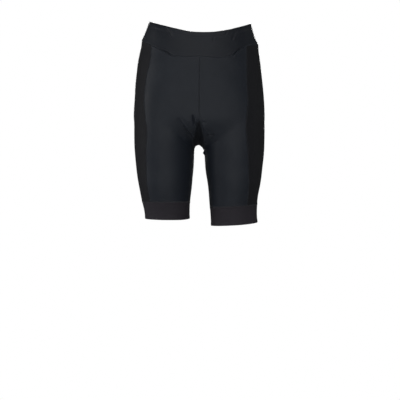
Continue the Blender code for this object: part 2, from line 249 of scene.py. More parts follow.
def gusset_line(angle):
    """Points under the crotch on the centre line, at angles round the hub."""
    y, z = GUSSET_HUB
    hub = np.stack([np.full_like(angle, -CENTRE_LEAN), np.full_like(angle, y), np.full_like(angle, z)], -1)
    return reach(hub, np.stack([np.zeros_like(angle), -np.cos(angle), -np.sin(angle)], -1))


def gusset_edge(side, angle):
    """The seam along one side of the gusset: half its width off the centre line, and on the form."""
    share = np.clip((angle - GUSSET_START) / (GUSSET_END - GUSSET_START), 0, 1)
    width = GUSSET_HALF_WIDTH * np.sin(np.pi * share) ** 0.6
    drop = -GUSSET_DROP * width / GUSSET_HALF_WIDTH
    return settle(gusset_line(angle) + np.stack([SIDE_SIGN[side] * width, np.zeros_like(width), drop], -1))


def table_height(side, turn, level):
    """Height of the cloth at a turn, straight between the named levels of the table."""
    knots = (-LEVEL_TURNS[1], *LEVEL_TURNS, 2 - LEVEL_TURNS[-2])
    curves = []
    for row in LEVELS[side]:
        mirrored = (row[1], *row, row[-2])
        curves.append(through(list(zip(knots, mirrored)), "z", ("turn", "z"), turn))
    lower = np.clip(np.floor(level).astype(int), 0, len(curves) - 2)[None]
    here = np.take_along_axis(np.stack(curves), lower, axis=0)[0]
    after = np.take_along_axis(np.stack(curves), lower + 1, axis=0)[0]
    return here + (after - here) * (level - lower[0])


def steps(first, last, count):
    return np.linspace(first, last, count + 1)[:-1]


def end_line(side, sign, start):
    """Levels, heights and angles of the front (-1) or back (1) end of one half of the cloth."""
    turn = (1 + sign) / 2
    tip_z = gusset_line(np.array([start]))[0, 2]
    rise_level = steps(WAIST_EDGE, GUSSET_TIP, FINE_STEPS)
    rise_z = np.maximum(table_height(side, np.full_like(rise_level, turn), rise_level), tip_z)
    inner = np.stack([centre_x(rise_z), np.zeros_like(rise_z), rise_z], -1)
    rise = reach(inner, np.array([0.0, sign, 0.0]) * np.ones_like(inner))
    seam_level = np.linspace(GUSSET_TIP, CROTCH, FINE_STEPS)
    seam = gusset_edge(side, start + (np.pi / 2 - start) * (seam_level - GUSSET_TIP))
    points = np.concatenate([rise, seam])
    offset = points - bone(side, points[..., 2])
    angles = np.arctan2(offset[..., 1], SIDE_SIGN[side] * offset[..., 0])
    angles = np.where(angles * sign < 0, angles + sign * 2 * np.pi, angles)
    leg_level = np.array([LEG_BAND_SEAM, HEM])
    leg_z = table_height(side, np.full(2, turn), leg_level)
    level = np.concatenate([rise_level, seam_level, leg_level])
    height = np.concatenate([rise_z, seam[:, 2], leg_z])
    return level, height, np.append(angles, [sign * np.pi, sign * np.pi])


ENDS = {side: (end_line(side, -1, GUSSET_START), end_line(side, 1, GUSSET_END)) for side in SIDE_SIGN}


def end_angles(side, level):
    """Angles of the front and back ends of the cloth at each level."""
    return [np.interp(level, end[0], end[2]) for end in ENDS[side]]


def seam_angles(side, level):
    """Angles of the side strip's front and back seams at each level."""
    return [np.radians(through(SIDE_PANELS[side], name, SIDE_PANEL_COLUMNS, level)) for name in SIDE_PANEL_COLUMNS[1:]]


def height(side, turn, level):
    """Height of the cloth at a turn, drawn to the real height of its front and back ends."""
    z = table_height(side, turn, level)
    for at_end, end in enumerate(ENDS[side]):
        off = np.interp(level, end[0], end[1]) - table_height(side, np.full_like(turn, at_end), level)
        z = z + off * np.clip(1 - np.abs(turn - at_end) / END_DRAW_TURN, 0, 1) ** 2
    return z


def place(side, angle, level):
    """Points of the cloth: out of the bone at each angle, at the height of each level, to the form."""
    level = np.broadcast_to(level[:, None], angle.shape)
    front, back = end_angles(side, level)
    turn = np.where(angle < 0, 0.5 - 0.5 * angle / front, 0.5 + 0.5 * angle / back)
    z = height(side, turn, level)
    sign = SIDE_SIGN[side]
    direction = np.stack([sign * np.cos(angle), np.sin(angle), np.zeros_like(angle)], -1)
    start = bone(side, z)
    to_centre = sign * (start[..., 0] - centre_x(z))
    towards = np.maximum(-sign * direction[..., 0], 1e-6)
    points = reach(start, direction, np.minimum(LONGEST_REACH, to_centre / towards))
    below_seam = z - height(side, turn, np.full_like(z, WAISTBAND_SEAM))
    ridge = WAIST_RIDGE * np.exp(-((below_seam / WAIST_RIDGE_REACH) ** 2) - (angle / WAIST_RIDGE_TURN) ** 2)
    return points + form_normal(points) * ridge[..., None]


SEAM_EDGE_STEPS = np.array([0.0, 0.0005, 0.0011, 0.0018, 0.0027, 0.0038, 0.0052, 0.0070])


def shares(width, step):
    """Shares from 0 to 1 across a piece, with close steps beside both sewn edges."""
    edge = SEAM_EDGE_STEPS / width
    middle = np.linspace(edge[-1], 1 - edge[-1], max(3, round(width / step)))
    return np.concatenate([edge[:-1], middle, 1 - edge[:-1][::-1]])


def fine_levels(first, last, step):
    """Levels of the rows from one named level to another, close beside the first and the last."""
    spans = {WAIST_EDGE: 0.060, WAISTBAND_SEAM: 0.175, GUSSET_TIP: 0.080, CROTCH: 0.125, LEG_BAND_SEAM: 0.045}
    rows = [steps(i, i + 1, round(spans[i] / step)) for i in range(first, last)]
    near_first = first + SEAM_EDGE_STEPS / spans[first]
    near_last = last - SEAM_EDGE_STEPS / spans[last - 1]
    rows = np.concatenate([*rows, [last]])
    rows = rows[(rows > near_first[-1]) & (rows < near_last[-1])]
    return np.concatenate([near_first, rows, near_last[::-1]])


def along(grid, axis):
    """Distance along each row (axis 1) or column (axis 0) of a grid from its start."""
    run = np.linalg.norm(np.diff(grid, axis=axis), axis=-1)
    start = np.zeros_like(np.take(run, [0], axis=axis))
    return np.concatenate([start, np.cumsum(run, axis=axis)], axis=axis)


SEAM_DIP = 0.00014
SEAM_DIP_REACH = 0.0011
SEAM_LIP = 0.00022
SEAM_LIP_AT = 0.0032
SEAM_LIP_REACH = 0.0018


def seam_relief(off):
    """Height beside a seam at a distance from it: a dip at the stitches and a soft lip over the allowance."""
    lip = SEAM_LIP * np.exp(-(((off - SEAM_LIP_AT) / SEAM_LIP_REACH) ** 2))
    return lip - SEAM_DIP * np.exp(-((off / SEAM_DIP_REACH) ** 2))


def edge_relief(grid, ends=(True, True), sides=(True, True)):
    """Relief along the sewn edges of a grid: first and last row in ends, first and last column in sides."""
    down, across = along(grid, 0), along(grid, 1)
    relief = np.zeros(grid.shape[:2])
    for used, off in zip((*ends, *sides), (down, down[-1:] - down, across, across[:, -1:] - across)):
        if used:
            relief = relief + seam_relief(off)
    return relief


CREASE_COLUMNS = ("face", "x0", "z0", "x1", "z1", "bend", "depth", "width")
CREASES = (
    # waistband, front: short drags down from the top edge
    ("front", -0.0870, -0.0235, -0.0680, -0.0530, 0.0016, 0.0024, 0.0019),
    ("front", 0.0940, -0.0290, 0.0790, -0.0570, -0.0012, 0.0020, 0.0020),
    ("front", 0.0690, -0.0310, 0.0610, -0.0440, 0.0006, 0.0012, 0.0017),
    ("front", 0.0345, -0.0480, 0.0325, -0.0620, 0.0000, 0.0009, 0.0017),
    # beside the waistband seam, where the band drags at the front of each hip
    ("front", -0.0985, -0.0780, -0.0705, -0.0960, 0.0012, 0.0030, 0.0016),
    ("front", 0.1020, -0.0740, 0.0810, -0.0970, -0.0010, 0.0034, 0.0016),
    # crotch: the upright fold, the roll beside it, the long thin ridge, and the folds on the left thigh
    ("front", -0.0184, -0.2420, -0.0135, -0.2690, 0.0006, 0.0050, 0.0021),
    ("front", -0.0125, -0.2530, 0.0010, -0.2680, -0.0010, -0.0030, 0.0028),
    ("front", -0.0480, -0.2520, -0.0110, -0.2990, -0.0030, -0.0030, 0.0019),
    ("front", -0.0560, -0.2500, -0.0160, -0.3060, -0.0040, 0.0030, 0.0080),
    ("front", -0.0035, -0.2600, -0.0030, -0.3120, 0.0000, 0.0052, 0.0078),
    ("front", 0.0060, -0.2680, 0.0185, -0.2900, 0.0010, -0.0014, 0.0018),
    ("front", 0.0160, -0.2912, 0.0345, -0.2918, 0.0006, 0.0034, 0.0018),
    ("front", 0.0030, -0.2590, 0.0150, -0.2610, -0.0010, 0.0014, 0.0024),
    ("front", 0.0100, -0.3060, 0.0220, -0.3140, 0.0000, -0.0014, 0.0022),
    ("front", 0.0200, -0.3130, 0.0460, -0.3010, -0.0020, 0.0010, 0.0030),
    ("front", -0.0600, -0.2750, -0.0280, -0.3120, -0.0020, 0.0012, 0.0060),
    # under the seat and at the back of the waist
    ("back", -0.0900, -0.3060, -0.0220, -0.2960, 0.0060, 0.0026, 0.0050),
    ("back", 0.0850, -0.3120, 0.0180, -0.2980, 0.0055, 0.0024, 0.0050),
    ("back", -0.0700, -0.3260, -0.0230, -0.3130, 0.0040, 0.0016, 0.0038),
    ("back", 0.0750, -0.3300, 0.0210, -0.3170, 0.0040, 0.0015, 0.0038),
    ("back", -0.0800, -0.0320, -0.0560, -0.0540, 0.0010, 0.0020, 0.0030),
    ("back", 0.0840, -0.0300, 0.0610, -0.0560, 0.0010, 0.0018, 0.0030),
    ("back", 0.0190, -0.0380, 0.0150, -0.0560, 0.0000, 0.0010, 0.0028),
)
PINCH_COLUMNS = ("x", "y", "z", "radius", "height")
PINCHES = ((0.0108, -0.012, -0.3330, 0.0048, 0.0042), (-0.0098, -0.0945, -0.2555, 0.0036, 0.0024))
FACE_AXIS = {"front": -1.0, "back": 1.0}
LIP_SHARE = 0.45


def crease_relief(points, normals):
    """Soft troughs beside a raised lip, each along a bent line seen from the front or the back.

    A negative depth makes a ridge. Pinches are round bumps: height times a bell curve of the distance."""
    relief = np.zeros(points.shape[:-1])
    for face, x0, z0, x1, z1, bend, depth, width in CREASES:
        run = np.array([x1 - x0, z1 - z0])
        length = np.linalg.norm(run)
        run = run / length
        dx, dz = points[..., 0] - x0, points[..., 2] - z0
        t = (dx * run[0] + dz * run[1]) / length
        off = (-dx * run[1] + dz * run[0]) - bend * 4 * t * (1 - t)
        taper = np.clip(np.sin(np.pi * np.clip(t, 0, 1)), 0, 1) ** 0.7
        facing = np.clip(FACE_AXIS[face] * normals[..., 1] * 2.5, 0, 1)
        trough = -np.exp(-((off / width) ** 2))
        lip = (LIP_SHARE if depth > 0 else 0.0) * np.exp(-(((off - 2.1 * width) / (1.3 * width)) ** 2))
        relief = relief + depth * taper * facing * (trough + lip)
    for x, y, z, radius, pinch_height in PINCHES:
        away = np.linalg.norm(points - np.array([x, y, z]), axis=-1)
        relief = relief + pinch_height * np.exp(-((away / radius) ** 2))
    return relief


RIPPLES = ((0.00022, 61.0, 17.0, 83.0, 0.4), (0.00016, 29.0, 71.0, -47.0, 1.9), (0.00012, 97.0, -53.0, 31.0, 3.1))


def ripple_relief(points):
    """Slight unevenness of worn cloth: a few long sine waves across each other."""
    relief = np.zeros(points.shape[:-1])
    for size, fx, fy, fz, phase in RIPPLES:
        relief = relief + size * np.sin(points[..., 0] * fx + points[..., 1] * fy + points[..., 2] * fz + phase)
    return relief


SEAM_HALF_GAP = 0.00005
SEWN_BULGE = 0.00010
RIM_ANGLES = np.radians([45.0, 90.0, 135.0])


def inwards(edge, inner, across_axis=0):
    """Unit steps from an edge of a grid towards the next line of points."""
    step = inner - edge
    return step / np.maximum(np.linalg.norm(step, axis=-1, keepdims=True), 1e-9)


def shell(name, grid, normals, wall, closed=False, free=(False, False)):
    """A closed cloth wall: the outer grid, one edge, the inner grid and the other edge, as one loop.

    A free edge is half-round, and a sewn one nearly square; the loop runs down the outside and up the
    inside, and an open piece also has flat sides."""
    grid = grid.copy()
    outwards = [-inwards(grid[0], grid[3]), -inwards(grid[-1], grid[-4])]
    bulge = [wall / 2 if edge_free else SEWN_BULGE for edge_free in free]
    for index in range(4):
        share = 1 - index / 4
        grid[index] -= outwards[0] * (bulge[0] + SEAM_HALF_GAP) * share
        grid[-1 - index] -= outwards[1] * (bulge[1] + SEAM_HALF_GAP) * share
    if not closed:
        grid[:, 0] += inwards(grid[:, 0], grid[:, 2]) * SEAM_HALF_GAP
        grid[:, -1] += inwards(grid[:, -1], grid[:, -3]) * SEAM_HALF_GAP
    inner = grid - normals * wall

    def rim(row, out, size):
        depth = [wall / 2 * (1 - math.cos(a)) for a in RIM_ANGLES]
        return [grid[row] + out * size * math.sin(a) - normals[row] * d for a, d in zip(RIM_ANGLES, depth)]

    ends = rim(-1, outwards[1], bulge[1]), rim(0, outwards[0], bulge[0])[::-1]
    loop = np.concatenate([grid, ends[0], inner[::-1], ends[1]])
    rows, columns = loop.shape[:2]
    down = np.concatenate([along(loop, 0), along(np.concatenate([loop, loop[:1]]), 0)[-1:]])
    wide = np.concatenate([loop, loop[:, :1]], axis=1) if closed else loop
    over = along(wide, 1)
    over = np.concatenate([over, over[:1]])
    over = over - over[:, over.shape[1] // 2 : over.shape[1] // 2 + 1]
    down = np.concatenate([down, down[:, :1]], axis=1) if closed else down
    r, c = np.meshgrid(np.arange(rows), np.arange(columns if closed else columns - 1), indexing="ij")
    corner_r = np.stack([r, r + 1, r + 1, r], -1).reshape(-1, 4)
    corner_c = np.stack([c, c, c + 1, c + 1], -1).reshape(-1, 4)
    quads = (corner_r % rows) * columns + corner_c % columns
    uv = np.stack([over[corner_r, corner_c], down[corner_r, corner_c]], -1).reshape(-1, 2)
    faces = quads.tolist()
    if not closed:
        last, half = grid.shape[0] - 1, len(RIM_ANGLES)
        for column, turn in ((0, 1), (columns - 1, -1)):
            front = np.arange(last)
            behind = rows - 1 - half - front
            sides = np.stack([front, behind, behind - 1, front + 1], -1) * columns + column
            ends = [np.arange(last, last + half + 2), np.append(np.arange(rows - 1 - half, rows), 0)]
            ends = [end * columns + column for end in ends]
            for face in [*sides.tolist(), ends[0].tolist(), ends[1].tolist()]:
                faces.append(face[::turn])
                uv = np.concatenate([uv, np.zeros((len(face), 2))])
    mesh = bpy.data.meshes.new(name)
    mesh.from_pydata(loop.reshape(-1, 3), [], faces)
    mesh.uv_layers.new(name="UVMap").data.foreach_set("uv", uv.astype(np.float32).ravel())
    mesh.update()
    first = mesh.polygons[(rows // 4) * (columns if closed else columns - 1) + columns // 2]
    way = normals[min(rows // 4, grid.shape[0] - 1), columns // 2]
    if np.dot(first.normal, way) < 0:
        mesh.flip_normals()
    mesh.shade_smooth()
    piece = bpy.data.objects.new(name, mesh)
    bpy.context.scene.collection.objects.link(piece)
    return piece


def nodes_of(name):
    """A new material with its node tree, its shader and a maker of nodes."""
    material = bpy.data.materials.new(name)
    material.use_nodes = True
    tree = material.node_tree

    def add(kind, **values):
        node = tree.nodes.new(kind)
        for key, value in values.items():
            if isinstance(value, bpy.types.NodeSocket):
                tree.links.new(value, node.inputs[key.replace("_", " ")])
            elif key.replace("_", " ") in node.inputs:
                node.inputs[key.replace("_", " ")].default_value = value
            else:
                setattr(node, key, value)
        return node

    return material, tree, tree.nodes["Principled BSDF"], add


def knit(name, colour, wale, roughness, sheen, gloss, ribs=False):
    """Knitted stretch cloth: fine wales across the piece, slubs along them, an uneven dye, and painted shade in the
    valleys between the loops.
    """
    material, tree, shader, add = nodes_of(name)
    uv = add("ShaderNodeUVMap", uv_map="UVMap").outputs["UV"]
    spot = add("ShaderNodeTexCoord").outputs["Object"]
    bands = 2 * math.pi / 20 / wale
    wales = add("ShaderNodeTexWave", Vector=uv, Scale=bands, Distortion=0.6, Detail=1.0)
    wales.bands_direction = "Y" if ribs else "X"
    courses = add("ShaderNodeTexWave", Vector=uv, Scale=bands * 1.3, Distortion=0.8, Detail=1.0)
    courses.bands_direction = "X" if ribs else "Y"
    cloud = add("ShaderNodeTexNoise", Vector=spot, Scale=38.0, Detail=4.0, Roughness=0.55)
    dye = add("ShaderNodeTexNoise", Vector=spot, Scale=9.0, Detail=2.0, Roughness=0.5)
    tone = add("ShaderNodeValToRGB", Fac=dye.outputs["Fac"])
    tone.color_ramp.elements[0].position, tone.color_ramp.elements[1].position = 0.30, 0.70
    tone.color_ramp.elements[0].color = (*[v * 0.93 for v in colour], 1)
    tone.color_ramp.elements[1].color = (*[v * 1.07 for v in colour], 1)
    loops = add("ShaderNodeMath", operation="MULTIPLY")
    tree.links.new(wales.outputs["Fac"], loops.inputs[0])
    tree.links.new(courses.outputs["Fac"], loops.inputs[1])
    # Painted shade: the base colour is darkened where the knit loops dip.
    loop_valley_painted_shade = add("ShaderNodeMapRange")
    tree.links.new(loops.outputs["Value"], loop_valley_painted_shade.inputs["Value"])
    loop_valley_painted_shade.inputs["To Min"].default_value, loop_valley_painted_shade.inputs["To Max"].default_value = 0.86, 1.08
    shade = add("ShaderNodeMix", data_type="RGBA", blend_type="MULTIPLY")
    shade.inputs["Factor"].default_value = 1.0
    tree.links.new(tone.outputs["Color"], shade.inputs["A"])
    tree.links.new(loop_valley_painted_shade.outputs["Result"], shade.inputs["B"])
    tree.links.new(shade.outputs["Result"], shader.inputs["Base Color"])
    rough = add("ShaderNodeMapRange", Value=cloud.outputs["Fac"])
    rough.inputs["To Min"].default_value, rough.inputs["To Max"].default_value = roughness - 0.06, roughness + 0.06
    tree.links.new(rough.outputs["Result"], shader.inputs["Roughness"])
    fine = add("ShaderNodeBump", Height=loops.outputs["Value"], Strength=0.35, Distance=0.00012)
    soft = add("ShaderNodeBump", Height=cloud.outputs["Fac"], Strength=0.25, Distance=0.0006)
    tree.links.new(fine.outputs["Normal"], soft.inputs["Normal"])
    tree.links.new(soft.outputs["Normal"], shader.inputs["Normal"])
    shader.inputs["Sheen Weight"].default_value = sheen
    shader.inputs["Sheen Roughness"].default_value = 0.45
    shader.inputs["Specular IOR Level"].default_value = gloss
    return material


PANEL_WALL = 0.0015
JERSEY = knit("jersey", (0.0132, 0.0168, 0.0240), 0.0009, 0.48, 0.02, 0.24)


def cloth_piece(name, grid, wall, material, closed=False, relief=0.0, ends=(True, True), sides=(True, True)):
    """A sewn piece on its grid of form points, with relief, riding on the body and in place of its solid."""
    normals = form_normal(grid)
    heights = edge_relief(grid, ends, (False, False) if closed else sides) + crease_relief(grid, normals) + ripple_relief(grid) + relief
    free = [not sewn for sewn in ends]
    piece = shell(name + "_cloth", grid + normals * heights[..., None], normals, wall, closed, free)
    piece.data.materials.append(material)
    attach(piece, "root")
    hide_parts(name)
    return piece


def flat_size(grid):
    """Width, length and area of a grid of cloth points laid flat."""
    width = along(grid, 1)[:, -1].max()
    length = along(grid, 0)[-1].max()
    down, over = np.diff(grid, axis=0)[:, :-1], np.diff(grid, axis=1)[:-1]
    area = np.linalg.norm(np.cross(down, over), axis=-1).sum()
    return float(width), float(length), float(area)


FRONT_STEP = 0.0014
FRONT_LEVELS = fine_levels(WAISTBAND_SEAM, LEG_BAND_SEAM, FRONT_STEP)
FRONT_SHARES = shares(0.165, FRONT_STEP)
sheets = {}
for side in SIDE_SIGN:
    first = end_angles(side, FRONT_LEVELS)[0]
    last = seam_angles(side, FRONT_LEVELS)[0]
    grid = place(side, first[:, None] + (last - first)[:, None] * FRONT_SHARES, FRONT_LEVELS)
    sheets[f"front_panel_{side}"] = grid
    piece = cloth_piece(f"front_panel_{side}", grid, PANEL_WALL, JERSEY)
    width, length, area = flat_size(grid)


# Side strips: a narrower, slightly flatter and darker jersey down the outside of each leg, sewn between
# the front and back panels from the waistband to the leg band.

PANEL_STEP = 0.0027
PANEL_LEVELS = fine_levels(WAISTBAND_SEAM, LEG_BAND_SEAM, PANEL_STEP)
SIDE_SHARES = shares(0.125, PANEL_STEP)
SIDE_JERSEY = knit("side_jersey", (0.0120, 0.0125, 0.0150), 0.0009, 0.62, 0.02, 0.14)
for side in SIDE_SIGN:
    first, last = seam_angles(side, PANEL_LEVELS)
    grid = place(side, first[:, None] + (last - first)[:, None] * SIDE_SHARES, PANEL_LEVELS)
    sheets[f"side_panel_{side}"] = grid
    piece = cloth_piece(f"side_panel_{side}", grid, PANEL_WALL, SIDE_JERSEY)
    width, length, area = flat_size(grid)


# Back panels: the same jersey as the fronts, fuller over the seat, joined by the centre-back rise.

BACK_SHARES = shares(0.180, PANEL_STEP)
for side in SIDE_SIGN:
    first = seam_angles(side, PANEL_LEVELS)[1]
    last = end_angles(side, PANEL_LEVELS)[1]
    grid = place(side, first[:, None] + (last - first)[:, None] * BACK_SHARES, PANEL_LEVELS)
    sheets[f"back_panel_{side}"] = grid
    piece = cloth_piece(f"back_panel_{side}", grid, PANEL_WALL, JERSEY)
    width, length, area = flat_size(grid)


# Gusset: one strip of a thicker jersey under the crotch, pointed at both ends, coloured darker than the panels as
# painted shade for the shadow under the crotch. It is sewn to all four panels, so that no seam crosses the middle of
# the crotch.

GUSSET_WALL = 0.0020
# The gusset's dark colour is painted shade for the shadow under the crotch; its thicker wall is real.
GUSSET_JERSEY_PAINTED_SHADE = knit("gusset_jersey_painted_shade", (0.0078, 0.0096, 0.0132), 0.0009, 0.62, 0.02, 0.14)
GUSSET_SHARES = shares(0.034, 0.0018)
front_rows = (FRONT_LEVELS >= GUSSET_TIP) & (FRONT_LEVELS <= CROTCH)
back_rows = (PANEL_LEVELS >= GUSSET_TIP) & (PANEL_LEVELS <= CROTCH)
edges = []
for side in ("right", "left"):
    front_edge = sheets[f"front_panel_{side}"][front_rows, 0]
    back_edge = sheets[f"back_panel_{side}"][back_rows, -1]
    edges.append(np.concatenate([front_edge, back_edge[::-1][1:]]))
width = np.linalg.norm(edges[1] - edges[0], axis=-1)[:, None, None]
share = GUSSET_SHARES[:, None]
grid = edges[0][:, None] * (1 - share) + edges[1][:, None] * share
grid = grid + share * (1 - share) * width * np.array([0.0, 0.0, 1.0])
grid[:, 1:-1] = settle(grid[:, 1:-1])
sheets["gusset"] = grid
piece = cloth_piece("gusset", grid, GUSSET_WALL, GUSSET_JERSEY_PAINTED_SHADE, sides=(False, False))
width, length, area = flat_size(grid)


# Waistband: doubled jersey, cut wide and shaped, dipped at the front, with flat elastic in its top edge.
# The front and back bands are sewn together over the hips and to the panels all round.

BAND_WALL = 0.0022
BAND_LEVELS = fine_levels(WAIST_EDGE, WAISTBAND_SEAM, 0.0015)
BAND_SHARES = shares(0.200, 0.0017)
WAISTBAND = knit("waistband", (0.0128, 0.0155, 0.0215), 0.0009, 0.48, 0.02, 0.22)
ELASTIC_HEIGHT = 0.0125
ELASTIC_SWELL = 0.00060
EDGE_ROLL = 0.0013
EDGE_ROLL_REACH = 0.0055


def band_half(side, to_front):
    """Points of one quarter of the waistband, from the hip seam to the middle of the front or back."""
    front_seam, back_seam = seam_angles(side, np.full_like(BAND_LEVELS, WAISTBAND_SEAM))
    hip = (front_seam + back_seam) / 2
    middle = end_angles(side, BAND_LEVELS)[0 if to_front else 1]
    return place(side, hip[:, None] + (middle - hip)[:, None] * BAND_SHARES, BAND_LEVELS)


def elastic_relief(grid):
    """The elastic in the top edge: a low swell that ends in a shallow step, and an edge that rolls in."""
    down = along(grid, 0)
    swell = ELASTIC_SWELL / (1 + np.exp((down - ELASTIC_HEIGHT) / 0.0008))
    return swell - EDGE_ROLL * np.exp(-down / EDGE_ROLL_REACH)


for name, to_front in (("waistband_front", True), ("waistband_back", False)):
    right, left = band_half("right", to_front), band_half("left", to_front)
    grid = np.concatenate([right, left[:, ::-1][:, 1:]], axis=1)
    middle = right.shape[1] - 1
    keep = np.r_[0 : middle - 7, middle, middle + 8 : grid.shape[1]]
    grid = grid[:, keep]
    if not to_front:
        grid = grid[:, ::-1]
    sheets[name] = grid
    piece = cloth_piece(
        name, grid, BAND_WALL, WAISTBAND, relief=elastic_relief(grid), ends=(False, True)
    )
    width, length, area = flat_size(grid)


# Leg bands: matt elastic knit, doubled at the hem, one closed ring on each leg, which it grips.

LEG_BAND_WALL = 0.0020
LEG_LEVELS = fine_levels(LEG_BAND_SEAM, HEM, 0.0022)
LEG_COLUMNS = 150
# The leg band colour is the band's own warmer tone, lightened further as painted light to make up for the dimmer light
# that reaches the hems.
LEG_BAND_TONE_AND_PAINTED_LIGHT = knit("leg_band", (0.0300, 0.0272, 0.0335), 0.0012, 0.62, 0.03, 0.12, ribs=True)
HEM_FOLD_HEIGHT = 0.0075
HEM_FOLD_SWELL = 0.00045
for side in SIDE_SIGN:
    front, back = end_angles(side, LEG_LEVELS)
    share = steps(0, 1, LEG_COLUMNS)
    grid = place(side, front[:, None] + (back - front)[:, None] * share, LEG_LEVELS)
    sheets[f"leg_band_{side}"] = grid
    up = along(grid, 0)
    up = up[-1:] - up
    fold = HEM_FOLD_SWELL / (1 + np.exp((up - HEM_FOLD_HEIGHT) / 0.0007))
    piece = cloth_piece(
        f"leg_band_{side}", grid, LEG_BAND_WALL, LEG_BAND_TONE_AND_PAINTED_LIGHT, closed=True, relief=fold, ends=(True, False)
    )
    ring = np.concatenate([grid, grid[:, :1]], axis=1)
    width, length, area = flat_size(ring)


# Seam threads: every seam is a flatlock, where the edges meet and two rows of needle stitches hold a
# zigzag of looper thread over them. The waist elastic and the hem folds have plain stitch rows.

THREAD_RADIUS = 0.00017
STITCH_PITCH = 0.0026
STITCH_LENGTH = 0.0023
STITCH_SIDES = 5
STITCH_RINGS = np.array([(-0.50, 0.35), (-0.40, 0.90), (0.0, 1.0), (0.40, 0.90), (0.50, 0.35)])
NEEDLE_OFF = 0.0018
LOOPER_ARCH = 0.00008
THREAD_SINK = 0.00010


def evenly(path, pitch):
    """Points at even steps along a path, by its running length."""
    run = along(path, 0)
    at = np.arange(pitch / 2, run[-1], pitch)
    return np.stack([np.interp(at, run, path[:, axis]) for axis in range(3)], -1)


def seam_axes(path):
    """Unit steps along a seam, out of the cloth, and across the seam to its right."""
    out = form_normal(path)
    ahead = np.gradient(path, axis=0)
    ahead = ahead - out * np.sum(ahead * out, axis=-1, keepdims=True)
    ahead = ahead / np.linalg.norm(ahead, axis=-1, keepdims=True)
    return ahead, out, np.cross(ahead, out)


def on_cloth(points, off, lift):
    """Points beside a seam, raised by the relief that the cloth has there and by the thread's own lift."""
    out = form_normal(points)
    up = crease_relief(points, out) + ripple_relief(points) + seam_relief(np.abs(off)) + lift
    return points + out * up[..., None]


def ring_faces(rings, sides):
    """Quads between the rings of one tube and a face over each end, as indices."""
    r, c = np.meshgrid(np.arange(rings - 1), np.arange(sides), indexing="ij")
    after = (c + 1) % sides
    quads = np.stack([r * sides + c, r * sides + after, (r + 1) * sides + after, (r + 1) * sides + c], -1)
    first = np.arange(sides)[::-1]
    return quads.reshape(-1, 4), first, np.arange(sides) + (rings - 1) * sides


def tubes(rings):
    """Points and faces of many equal tubes, from an array of tube, ring, side and place."""
    count, ring_count, sides = rings.shape[:3]
    quads, first, last = ring_faces(ring_count, sides)
    start = (np.arange(count) * ring_count * sides)[:, None, None]
    ends = np.stack([first, last])[None] + start
    return rings.reshape(-1, 3), (quads[None] + start).reshape(-1, 4).tolist() + ends.reshape(-1, sides).tolist()


def stitch_row(path, off):
    """A row of short rounded bars beside a seam: rings of five points carried along each stitch."""
    centre = evenly(path, STITCH_PITCH)
    ahead, out, over = seam_axes(centre)
    centre = on_cloth(centre + over * off, off, THREAD_RADIUS - THREAD_SINK)
    turn = steps(0, 2 * math.pi, STITCH_SIDES)[:, None]
    ring = out[:, None] * np.cos(turn) + over[:, None] * np.sin(turn)
    shift = ahead[:, None] * (STITCH_LENGTH * STITCH_RINGS[:, 0])[:, None]
    size = THREAD_RADIUS * STITCH_RINGS[:, 1][None, :, None, None]
    return tubes(centre[:, None, None] + shift[:, :, None] + ring[:, None] * size)


def looper_row(path):
    """One thread that crosses the seam and back at each stitch: a zigzag with a low arch in each crossing."""
    fine = evenly(path, STITCH_PITCH / 8)
    fine = fine[: len(fine) // 8 * 8]
    _, out, over = seam_axes(fine)
    phase = np.arange(len(fine)) / 8 * 2
    swing = 2 * np.abs(phase % 2 - 1) - 1
    off = swing * NEEDLE_OFF
    arch = LOOPER_ARCH * (1 - swing**2) + seam_relief(NEEDLE_OFF) - seam_relief(np.abs(off))
    line = on_cloth(fine + over * off[:, None], off, THREAD_RADIUS - THREAD_SINK / 2 + arch)
    ahead = np.gradient(line, axis=0)
    ahead = ahead / np.linalg.norm(ahead, axis=-1, keepdims=True)
    beside = np.cross(ahead, out)
    beside = beside / np.linalg.norm(beside, axis=-1, keepdims=True)
    turn = steps(0, 2 * math.pi, STITCH_SIDES)[:, None]
    ring = np.cross(beside, ahead)[:, None] * np.cos(turn) + beside[:, None] * np.sin(turn)
    return tubes((line[:, None] + ring * THREAD_RADIUS)[None])


def thread_finish(name, colour):
    """Spun polyester thread: a fine twist along it and slight changes of shade."""
    material, tree, shader, add = nodes_of(name)
    spot = add("ShaderNodeTexCoord").outputs["Object"]
    twist = add("ShaderNodeTexNoise", Vector=spot, Scale=2600.0, Detail=2.0)
    shade = add("ShaderNodeValToRGB", Fac=twist.outputs["Fac"])
    shade.color_ramp.elements[0].position, shade.color_ramp.elements[1].position = 0.35, 0.65
    shade.color_ramp.elements[0].color = (*[v * 0.85 for v in colour], 1)
    shade.color_ramp.elements[1].color = (*[v * 1.15 for v in colour], 1)
    tree.links.new(shade.outputs["Color"], shader.inputs["Base Color"])
    bump = add("ShaderNodeBump", Height=twist.outputs["Fac"], Strength=0.4, Distance=0.00005)
    tree.links.new(bump.outputs["Normal"], shader.inputs["Normal"])
    rough = add("ShaderNodeMapRange", Value=twist.outputs["Fac"])
    rough.inputs["To Min"].default_value, rough.inputs["To Max"].default_value = 0.42, 0.58
    tree.links.new(rough.outputs["Result"], shader.inputs["Roughness"])
    shader.inputs["Specular IOR Level"].default_value = 0.2
    return material


def sew(name, parts, material):
    """One piece of thread from the points and faces of its rows."""
    points, faces, count = [], [], 0
    for part_points, part_faces in parts:
        points.append(part_points)
        faces += [[index + count for index in face] for face in part_faces]
        count += len(part_points)
    mesh = bpy.data.meshes.new(name)
    mesh.from_pydata(np.concatenate(points), [], faces)
    mesh.update()
    mesh.shade_smooth()
    piece = bpy.data.objects.new(name, mesh)
    bpy.context.scene.collection.objects.link(piece)
    mesh.materials.append(material)
    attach(piece, "root")
    return piece


